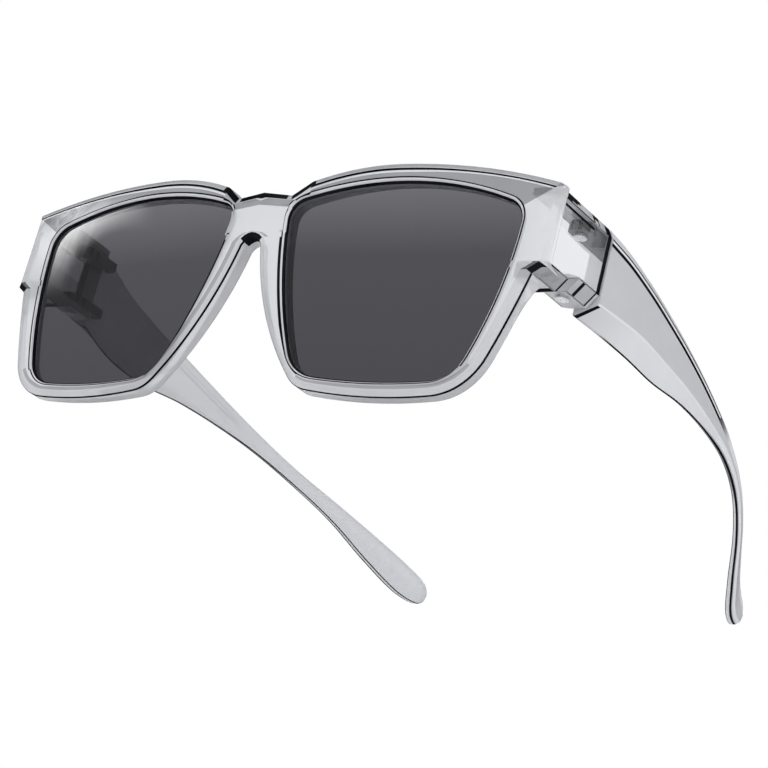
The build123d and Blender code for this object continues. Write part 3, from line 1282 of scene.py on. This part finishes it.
        # painted tones: dark lines along the edges, painted shade on the inner faces seen through the panel
        strips = [
            Strip(((line, PaintedTone.BODY), *panel), PaintedTone.EDGE),
            Strip(((above, PaintedTone.PALE), (-below, PaintedTone.BODY), (0.0, PaintedTone.BODY))),
            Strip(((line, PaintedTone.PALE), (-line, PaintedTone.BODY), (0.0, PaintedTone.SHADE)), PaintedTone.DEEP),
            plain_strip(PaintedTone.SHADE, PaintedTone.DEEP),
            Strip(((-line, PaintedTone.BODY), (0.0, PaintedTone.SHADE)), PaintedTone.DEEP),
            Strip(((line, PaintedTone.BODY), (-line, PaintedTone.PALE), (0.0, PaintedTone.BODY)), PaintedTone.DEEP),
            plain_strip(PaintedTone.SHADE, PaintedTone.DEEP),
            plain_strip(PaintedTone.SHADE, PaintedTone.DEEP),
            Strip(((line, PaintedTone.DEEP), (-line, PaintedTone.PALE), (0.0, PaintedTone.BODY)), PaintedTone.DEEP),
            Strip(((line / 2, PaintedTone.DEEP), (-line / 2, PaintedTone.SHADE), (0.0, PaintedTone.DEEP)), PaintedTone.DEEP),
        ]
        rings, tones = profile_rings(standing_corners(stations, places), strips, self.edge_round)
        starts = flat_starts(strips)
        shades = np.repeat(np.array(tones)[:, None], len(stations) - 1, axis=1)
        # painted dark, painted shade and pale stretches that stand in for the dark the plastic bends in
        for patch in self.end_patches:
            first, past = (starts[patch.flat] + ROUND + band for band in patch.bands)
            begin, end = np.searchsorted(stations, np.array(patch.stretch) - TINY)
            shades[first:past, begin:end] = patch.tone.value
        for flat, edge_bands in ((EndFlat.PANEL, 2), (EndFlat.LINING, 0)):
            shades[starts[flat] + ROUND + edge_bands : starts[flat + 1]] += CLEAR
        # the front cap is painted pale and the rear cap painted shade
        return ring_surface(rings, shades, caps=(PaintedTone.PALE, PaintedTone.SHADE))

    def build(self, lean: Lean, materials: tuple[bpy.types.Material, ...]) -> bpy.types.Object:
        """Make the moulding, dress it and let it stand for its CAD node.

        Args:
            lean: the part's own frame.
            materials: the smoky plastic, the painted dark of its edges and the clear plastic.

        Returns:
            The front moulding.
        """
        # the face's band along the nose is painted pale on the left half and painted shade on the right
        half = self.rim_half(PaintedTone.PALE).with_surface(self.rim_half(PaintedTone.SHADE).mirrored())
        end = self.end_piece()
        piece = make_piece("front_moulding", half, lean)
        ends = make_piece("end_pieces", end.with_surface(end.mirrored()), lean)
        union = piece.modifiers.new("join_ends", "BOOLEAN")
        union.operation = "UNION"
        union.solver = "EXACT"
        union.object = ends
        apply_modifiers(piece)
        bpy.data.objects.remove(ends)
        dress(piece, *materials)
        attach(piece, "front")
        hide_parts("front_frame")
        return piece


def apply_modifiers(piece: bpy.types.Object) -> None:
    """Replace a piece's mesh by what its modifiers make of it.

    Args:
        piece: the piece, which has no modifier left afterwards.
    """
    graph = bpy.context.evaluated_depsgraph_get()
    mesh = bpy.data.meshes.new_from_object(piece.evaluated_get(graph))
    piece.modifiers.clear()
    piece.data = mesh


@dataclass
class Temple:
    """A temple: a bowed, drooping bar with a rounded tip and two hinge tongues.

    A row starts with a share of the run. Then it holds how far the outer face lies inwards as a share of the
    half width, the top and bottom as shares of the height, the thickness and the chamfer as shares of the
    thickness, the facet as a share of the row's own thickness, and its rise as a share of the height. A fade
    holds tones at shares of the run, and paints its bands from the first of these to the tip.
    """

    half_width: float = HALF_WIDTH
    height: float = HEIGHT
    start: float = 27.3
    bar_stations: int = 130
    tip_stations: int = 40
    tip_end: float = 0.499
    run: float = 136.5
    thickness: float = 2.8
    tip_place: Pair = (160.3, 9.0)
    tip_radius: float = 3.5
    tip_tilt: float = 16.0
    edge_round: float = 0.22
    # widths of the painted dark lines and bands, the seam's painted shade and the facet's painted shadow
    edge_line: float = 0.45
    seam_line: float = 1.0
    largest_bevel: float = 0.3
    band: float = 0.75
    band_line: float = 0.8
    shadow: float = 0.5
    # where the painted dark lines and painted shade along the edges start and fade, as shares of the run
    line_fade: tuple[tuple[float, PaintedTone], ...] = ((0.03, PaintedTone.PALE), (0.08, PaintedTone.EDGE))
    facet_fade: tuple[tuple[float, PaintedTone], ...] = ((0.39, PaintedTone.PALE), (0.45, PaintedTone.SHADE))
    upper_fade: tuple[tuple[float, PaintedTone], ...] = ((0.46, PaintedTone.EDGE), (0.54, PaintedTone.PALE))
    under_fade: tuple[tuple[float, PaintedTone], ...] = (
        (0.06, PaintedTone.BODY),
        (0.1, PaintedTone.EDGE),
        (0.25, PaintedTone.EDGE),
        (0.31, PaintedTone.BODY),
        (0.4, PaintedTone.BODY),
        (0.48, PaintedTone.DEEP),
        (0.6, PaintedTone.DEEP),
        (0.68, PaintedTone.BODY),
    )
    pivot: Pair = PIVOT
    tongue_radius: float = 2.7
    tongue_sides: int = 8
    tongue_thickness: float = 2.3
    tongue_root: float = 2.5
    tongue_bottoms: Pair = (44.905, 32.125)
    rows: tuple[tuple[float, ...], ...] = (
        (0.00, -0.013, 0.891, 0.527, 2.09, 0.80, 0.92, 0.042),
        (0.05, -0.025, 0.868, 0.510, 1.69, 0.80, 0.90, 0.061),
        (0.12, -0.033, 0.827, 0.490, 1.19, 0.75, 0.88, 0.085),
        (0.21, -0.031, 0.776, 0.481, 0.99, 0.67, 0.86, 0.083),
        (0.32, -0.018, 0.716, 0.505, 0.85, 0.53, 0.78, 0.050),
        (0.43, 0.001, 0.650, 0.506, 0.75, 0.44, 0.65, 0.026),
        (0.54, 0.030, 0.580, 0.485, 0.67, 0.37, 0.49, 0.017),
        (0.65, 0.078, 0.503, 0.425, 0.68, 0.36, 0.41, 0.016),
        (0.76, 0.151, 0.423, 0.324, 0.76, 0.36, 0.40, 0.016),
        (0.85, 0.222, 0.344, 0.199, 0.91, 0.36, 0.40, 0.016),
        (0.93, 0.282, 0.272, 0.111, 0.97, 0.36, 0.40, 0.015),
        (1.01, 0.324, 0.206, 0.096, 0.90, 0.32, 0.40, 0.010),
    )

    def smooth_rows(self, at: np.ndarray) -> np.ndarray:
        """Return the rows at some shares of the run.

        Between two given rows it is the cubic that has their values and the table's slopes there.

        Args:
            at: shares of the run.

        Returns:
            One row of values for each share, in columns.
        """
        table = np.array(self.rows)
        places, values = table[:, 0], table[:, 1:]
        slopes = np.gradient(values, places, axis=0)
        index = np.clip(np.searchsorted(places, at, side="right") - 1, 0, len(places) - 2)
        span = (places[index + 1] - places[index])[:, None]
        t = (at - places[index])[:, None] / span
        low, high = values[index], values[index + 1]
        low_slope, high_slope = slopes[index] * span, slopes[index + 1] * span
        return (
            low * (2 * t**3 - 3 * t**2 + 1)
            + low_slope * (t**3 - 2 * t**2 + t)
            + high * (3 * t**2 - 2 * t**3)
            + high_slope * (t**3 - t**2)
        )

    def bar(self) -> Surface:
        """Return the bar: a six-cornered profile carried along the run and closed in a round tip.

        The tip is the circle about its place, whose turns are shares of half a turn, and no bevel takes more
        than its share of the bar's height.

        Returns:
            The bar's closed surface.
        """
        tip_back, tip_up = self.tip_place
        body = np.linspace(self.start, tip_back - self.tip_radius, self.bar_stations)
        turns = np.linspace(-0.5, self.tip_end, self.tip_stations) * np.pi
        cap = tip_back + self.tip_radius * np.sin(turns)
        stations = np.unique(np.concatenate([[self.start + self.seam_line], body[:-1], cap]))
        rows = self.smooth_rows((stations - self.start) / self.run)
        inward, top, bottom, thick, chamfer, facet, facet_rise = rows.T
        outer = self.half_width * (1 - inward)
        thick = thick * self.thickness
        top, bottom = top * self.height, bottom * self.height
        chord = np.sqrt(np.clip(self.tip_radius**2 - (stations - tip_back) ** 2, 0, None))
        shift = self.tip_radius * math.sin(math.radians(self.tip_tilt))
        top = np.where(stations > tip_back + shift, np.minimum(top, tip_up + chord), top)
        bottom = np.where(stations > tip_back - shift, np.maximum(bottom, tip_up - chord), bottom)
        largest = self.largest_bevel * (top - bottom)
        bevel = np.minimum(chamfer * self.thickness, largest)
        rise = np.minimum(facet_rise * self.height, largest)
        places = (
            (outer - thick, bottom),
            (outer - facet * thick, bottom),
            (outer, bottom + rise),
            (outer, top - bevel),
            (outer - bevel / 2, top),
            (outer - thick, top),
        )
        line = self.edge_line
        # the outer flank: a pale line, a painted duller band, a painted dark line and painted shade up to the
        # top edge
        flank = (
            (line, PaintedTone.PALE),
            (-self.band - self.band_line, PaintedTone.DULL),
            (-self.band, PaintedTone.EDGE),
            (-line / 2, PaintedTone.PALE),
            (0.0, PaintedTone.SHADE),
        )
        # the underside's painted dark edge line, the lower facet painted pale, and a painted dark line at the
        # inner top corner
        strips = [
            Strip(((line, PaintedTone.EDGE), (-line, PaintedTone.BODY), (0.0, PaintedTone.BODY)), PaintedTone.BODY),
            Strip(((self.shadow, PaintedTone.PALE), (0.0, PaintedTone.PALE)), PaintedTone.PALE),
            Strip(flank, PaintedTone.EDGE),
            plain_strip(PaintedTone.BODY),
            plain_strip(PaintedTone.BODY),
            plain_strip(PaintedTone.BODY, PaintedTone.EDGE),
        ]
        rings, tones = profile_rings(standing_corners(stations, places), strips, self.edge_round)
        shades = np.repeat(np.array(tones)[:, None], len(stations) - 1, axis=1)
        facet_first, flank_first, chamfer_first = flat_starts(strips)[1:4]
        # painted shade along the seam with the end piece
        shades[:flank_first, stations[:-1] < self.start + self.seam_line - NEAR] = PaintedTone.EDGE.value
        shares = (stations[:-1] - self.start) / self.run
        # the fades: painted dark and shade along the underside and its edge, painted shade on the facet, and
        # the top edge's painted dark line fading out
        for first, past, fade in (
            (ROUND, facet_first - 1, self.under_fade),
            (facet_first - 1, facet_first + 2, self.line_fade),
            (facet_first + 2, facet_first + 3, self.facet_fade),
            (chamfer_first - 3, chamfer_first + 2, self.upper_fade),
        ):
            places, values = zip(*((place, tone.value) for place, tone in fade))
            along = shares > places[0]
            shades[first:past, along] = np.interp(shares[along], places, values)
        return ring_surface(rings, shades, caps=(PaintedTone.PALE, PaintedTone.BODY))

    def tongue(self, bottom: float) -> Surface:
        """Return a hinge tongue: an eight-sided eye about the pivot, with an arm back into the bar.

        Args:
            bottom: the height of its underside.

        Returns:
            The tongue's closed surface.
        """
        radius = self.tongue_radius
        half_turn = np.pi / self.tongue_sides
        turns = half_turn + 2 * half_turn * np.arange(self.tongue_sides)
        eye = np.stack([np.cos(turns), np.sin(turns)], axis=1) * (radius / math.cos(half_turn))
        front = eye[eye[:, 1] < radius - NEAR]
        around = (np.arctan2(front[:, 1], front[:, 0]) - np.pi / 2) % (2 * np.pi)
        back = self.start + self.tongue_root - self.pivot[1]
        plan = np.concatenate([front[np.argsort(around)], [[radius, back], [-radius, back]]]) + self.pivot
        levels = (bottom, bottom + self.tongue_thickness)
        corners = np.stack([np.insert(plan, 2, level, axis=1) for level in levels], axis=1)
        line = self.edge_line
        # painted dark: dark lines on its edges and deep painted shade over its sides and caps, for the shade
        # it lies in behind the panel
        side = Strip(((line, PaintedTone.EDGE), (-line, PaintedTone.DEEP), (0.0, PaintedTone.EDGE)), PaintedTone.EDGE)
        rings, tones = profile_rings(corners, [side] * len(plan), self.edge_round)
        return ring_surface(rings, tones, caps=(PaintedTone.DEEP, PaintedTone.DEEP))

    def build(
        self, side: str, lean: Lean, materials: tuple[bpy.types.Material, ...]
    ) -> bpy.types.Object:
        """Make one temple, dress it and let it stand for its CAD node.

        Args:
            side: left or right.
            lean: the part's own frame.
            materials: the milky plastic and the painted dark of its edges.

        Returns:
            The temple.
        """
        surface = self.bar()
        for bottom in self.tongue_bottoms:
            surface = surface.with_surface(self.tongue(bottom))
        if side == "right":
            surface = surface.mirrored()
        piece = make_piece(f"temple_arm_{side}", surface, lean)
        dress(piece, *materials)
        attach(piece, f"temple_{side}_body")
        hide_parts(f"temple_{side}")
        return piece


@dataclass
class Studio:
    """Pale floor, soft lamps, a glow card, a white surround and the photograph's camera.

    The card's place and its two half sides are in metres. The glow's pairs are the places in the mirrored
    picture, whose corners are at 1, between which it grows from none to full.
    """

    camera_place: Point = (0.31346462, -0.42582455, -0.13886863)
    camera_turn: Point = (108.3314132, -12.52941618, 33.72851942)
    camera_lens: float = 105.06707819965331
    camera_near: float = 0.01
    floor_half_size: float = 3.0
    floor_drop: float = 0.003
    floor_colour: Colour = (0.86, 0.86, 0.87)
    white: Colour = (1.0, 1.0, 1.0)
    low_sky: Colour = (1.0, 1.0, 1.0)
    high_sky: Colour = (0.10, 0.10, 0.11)
    light_sky: Colour = (0.90, 0.90, 0.91)
    mirror_sky: Colour = (0.30, 0.30, 0.31)
    dark_above: Pair = (0.55, 0.80)
    glow_place: Point = (-0.4182, -0.3437, 0.2084)
    glow_right: Point = (0.00925, -0.00533, 0.01166)
    glow_up: Point = (0.00936, 0.01167, 0.03696)
    glow_ring: Pair = (0.64, 0.95)
    glow_curve: float = 1.3
    glow_rim: Pair = (0.947, 0.927)
    glow_rise: Pair = (-0.1, 0.72)
    glow_end: Pair = (0.3, -0.6)
    glow_strength: float = 15.5
    lamps: tuple[tuple[str, Point, float, float], ...] = (
        ("key_lamp", (-0.5, -0.9, 1.0), 0.7, 5.0),
        ("side_lamp", (1.1, -0.1, 0.7), 0.6, 3.0),
        ("rear_lamp", (-0.3, 1.1, 0.9), 0.8, 3.0),
    )

    def build(self) -> None:
        """Make the camera, the lamps, the glow card, the floor and the world."""
        self.make_camera()
        for name, place, size, power in self.lamps:
            self.make_lamp(name, place, size, power)
        self.make_glow()
        self.make_floor()
        self.make_world()

    def make_camera(self) -> None:
        """Place the camera where the photograph was taken from."""
        data = bpy.data.cameras.new("photograph_camera")
        data.lens = self.camera_lens
        data.clip_start = self.camera_near
        camera = bpy.data.objects.new("photograph_camera", data)
        camera.location = self.camera_place
        camera.rotation_euler = [math.radians(angle) for angle in self.camera_turn]
        bpy.context.scene.collection.objects.link(camera)
        bpy.context.scene.camera = camera

    def make_lamp(self, name: str, place: Point, size: float, power: float) -> None:
        """Add a square soft lamp that points at the part.

        Args:
            name: the lamp's name.
            place: where it stands, in metres.
            size: the length of its side.
            power: its power in watts.
        """
        data = bpy.data.lights.new(name, "AREA")
        data.size = size
        data.energy = power
        lamp = bpy.data.objects.new(name, data)
        lamp.location = place
        lamp.visible_glossy = lamp.visible_transmission = False
        across, back, up = np.array(place) / np.linalg.norm(place)
        lamp.rotation_euler = (math.acos(up), 0.0, math.atan2(back, across) + math.pi / 2)
        bpy.context.scene.collection.objects.link(lamp)

    def make_sheet(self, name: str, corners: np.ndarray) -> tuple[bpy.types.Object, NodeGraph]:
        """Add a four-sided sheet with a material of its own.

        Args:
            name: the sheet's name.
            corners: its four corners in metres.

        Returns:
            The sheet and its material's empty graph.
        """
        mesh = bpy.data.meshes.new(name)
        mesh.from_pydata(corners.tolist(), [], [(0, 1, 2, 3)])
        sheet = bpy.data.objects.new(name, mesh)
        bpy.context.scene.collection.objects.link(sheet)
        material, graph = new_material(f"{name}_paint")
        mesh.materials.append(material)
        return sheet, graph

    def make_glow(self) -> None:
        """Hang a small card with a glowing crescent, which one lens mirrors along its upper outer corner.

        The card's attribute gives each point its place in the mirrored picture. The glow grows by a power
        with the distance from its middle, stops at the rim and fades downwards and towards the nose.
        """
        right, up = np.array(self.glow_right), np.array(self.glow_up)
        corners = np.array(self.glow_place) + SQUARE[:, :1] * right + SQUARE[:, 1:2] * up
        card, graph = self.make_sheet("glow_card", corners)
        card.visible_camera = card.visible_diffuse = card.visible_transmission = card.visible_shadow = False
        layer = card.data.attributes.new(PICTURE, "FLOAT_VECTOR", "POINT")
        layer.data.foreach_set("vector", SQUARE.astype(np.float32).ravel())
        picture = graph.add("ShaderNodeAttribute", attribute_name=PICTURE).outputs["Vector"]
        length = graph.add("ShaderNodeVectorMath", operation="LENGTH", Vector=picture).outputs["Value"]
        glow = graph.maths("POWER", graph.between(length, *self.glow_ring), self.glow_curve)
        for value, ends, shape in (
            (length, self.glow_rim, "LINEAR"),
            (graph.part_of(picture, "Y"), self.glow_rise, "SMOOTHSTEP"),
            (graph.part_of(picture, "X"), self.glow_end, "SMOOTHSTEP"),
        ):
            glow = graph.maths("MULTIPLY", glow, graph.between(value, *ends, shape))
        light = graph.add("ShaderNodeEmission", Strength=self.glow_strength)
        graph.finish(graph.mixed(glow, graph.add("ShaderNodeBsdfTransparent"), light))

    def make_floor(self) -> None:
        """Lay a pale floor that shows only from above, because the photograph looks up from below it."""
        corners = SQUARE * self.floor_half_size - np.array([0.0, 0.0, self.floor_drop])
        floor, graph = self.make_sheet("floor", corners)
        paint = graph.add("ShaderNodeBsdfDiffuse", Color=(*self.floor_colour, 1.0))
        below = graph.add("ShaderNodeNewGeometry").outputs["Backfacing"]
        graph.finish(graph.mixed(below, paint, graph.add("ShaderNodeBsdfTransparent")))

    def make_world(self) -> None:
        """Make a surround that is white behind the part, and dark overhead for what plastic bends up to."""
        world = bpy.data.worlds.new("studio_world")
        bpy.context.scene.world = world
        world.use_nodes = True
        graph = NodeGraph(world.node_tree)
        height = graph.part_of(graph.add("ShaderNodeTexCoord").outputs["Generated"], "Z")
        sky = graph.ramp(height, list(zip(self.dark_above, (self.low_sky, self.high_sky))))
        ray = graph.add("ShaderNodeLightPath").outputs
        colour = graph.blended(ray["Is Glossy Ray"], self.light_sky, self.mirror_sky)
        colour = graph.blended(ray["Is Transmission Ray"], colour, sky)
        colour = graph.blended(ray["Is Camera Ray"], colour, self.white)
        background = graph.add("ShaderNodeBackground", Color=colour)
        graph.add("ShaderNodeOutputWorld", Surface=background.outputs["Background"])


def dress(piece: bpy.types.Object, *materials: bpy.types.Material) -> None:
    """Give a piece its materials in place of those that it has.

    Args:
        piece: the piece.
        materials: one for all its faces, a second for those painted in the edges' dark tone and a third for
            the clear ones.
    """
    mesh = piece.data
    mesh.materials.clear()
    for material in materials:
        mesh.materials.append(material)
    if len(materials) > 1:
        tones = np.zeros(len(mesh.polygons), np.float32)
        mesh.attributes[PAINTED_TONE].data.foreach_get("value", tones)
        slots = np.where(tones >= CLEAR, len(materials) - 1, 0)
        slots[tones % CLEAR <= PaintedTone.EDGE.value] = 1
        mesh.polygons.foreach_set("material_index", slots.astype(np.int32))


def main() -> None:
    """Dress the part and set up the studio."""
    logging.basicConfig(level=logging.INFO)
    bpy.context.scene.view_settings.view_transform = "Standard"
    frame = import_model()
    lean = Lean()
    # the painted dark of the edge lines
    edge = EDGE_SHADE.material()
    milky = ClearPlastic().material()
    clear = ClearPlastic(name="clear_grey_plastic", transmission=0.95).material()
    rim_plastic = ClearPlastic(name="smoky_grey_plastic", transmission=0.5).material()
    lens = TintedLens().material()
    steel = PIN_STEEL.material()
    FrontMoulding().build(lean, (rim_plastic, edge, clear))
    for side in ("left", "right"):
        Temple().build(side, lean, (milky, edge))
        dress(frame["nodes"][f"lens_{side}"], lens)
        for level in ("upper", "lower"):
            dress(frame["nodes"][f"{level}_hinge_pin_{side}"], steel)
    Studio().build()


if __name__ == "__main__":
    main()
